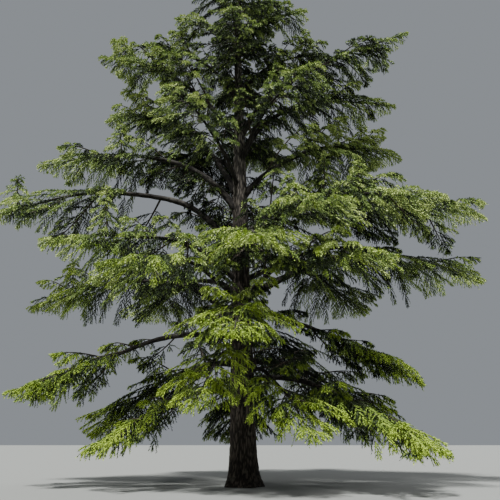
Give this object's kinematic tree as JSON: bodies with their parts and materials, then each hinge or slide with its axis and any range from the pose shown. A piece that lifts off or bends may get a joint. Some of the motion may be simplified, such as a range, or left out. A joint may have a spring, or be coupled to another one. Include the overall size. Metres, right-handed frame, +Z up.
{
  "type": "deodar cedar tree",
  "caption": "Whole deodar cedar: a flared, tapering trunk with arching boughs and drooping shelves of needle sprays, rooted at a flat cut at ground level.",
  "frame": {"origin": "centre of the flat cut under the trunk, at ground level", "axes": "+Z up the trunk, +X to the right of the pictured view, +Y away from the viewer"},
  "size_m": [22.644, 15.4897, 26.5],
  "materials": {
    "trunk_bark": "rough ridged bark",
    "bough_bark": "rough bark",
    "needles": "matt green needles"
  },
  "bodies": {
    "root": {"trunk": "trunk_bark", "bough_back_left_arm": "bough_bark", "bough_back_right_arm": "bough_bark", "bough_left_arch": "bough_bark", "bough_left_low_arm": "bough_bark", "bough_left_mid_arm": "bough_bark", "bough_left_steep": "bough_bark", "bough_left_upper_arch": "bough_bark", "bough_low_back_right": "bough_bark", "bough_low_right_front": "bough_bark", "bough_right_crest": "bough_bark", "bough_right_fork": "bough_bark", "bough_right_high_shelf": "bough_bark", "bough_right_low_arm": "bough_bark", "bough_right_mid_arm": "bough_bark", "foliage_back_arch": "needles", "foliage_back_crest": "needles", "foliage_back_crown": "needles", "foliage_back_left_arm": "needles", "foliage_back_left_upper": "needles", "foliage_back_low_arm": "needles", "foliage_back_right_arm": "needles", "foliage_back_spire": "needles", "foliage_front_arch": "needles", "foliage_front_crown": "needles", "foliage_front_left_arm": "needles", "foliage_front_left_upper": "needles", "foliage_front_low_arm": "needles", "foliage_front_right_arm": "needles", "foliage_front_right_shelf": "needles", "foliage_front_right_upper": "needles", "foliage_front_spire": "needles", "foliage_leader": "needles", "foliage_left_arch": "needles", "foliage_left_crown": "needles", "foliage_left_low_arm": "needles", "foliage_left_mid_arm": "needles", "foliage_left_shelf": "needles", "foliage_left_spire": "needles", "foliage_left_steep": "needles", "foliage_left_tip": "needles", "foliage_left_top": "needles", "foliage_left_upper_arch": "needles", "foliage_low_back": "needles", "foliage_low_back_left": "needles", "foliage_low_back_right": "needles", "foliage_low_front_left": "needles", "foliage_low_front_right": "needles", "foliage_low_left_front": "needles", "foliage_low_right_front": "needles", "foliage_right_crest": "needles", "foliage_right_crown": "needles", "foliage_right_fork": "needles", "foliage_right_front_shelf": "needles", "foliage_right_high_shelf": "needles", "foliage_right_low_arm": "needles", "foliage_right_mid_arm": "needles", "foliage_right_spire": "needles", "foliage_right_tip": "needles", "foliage_right_upper_shelf": "needles"}
  },
  "joints": []
}
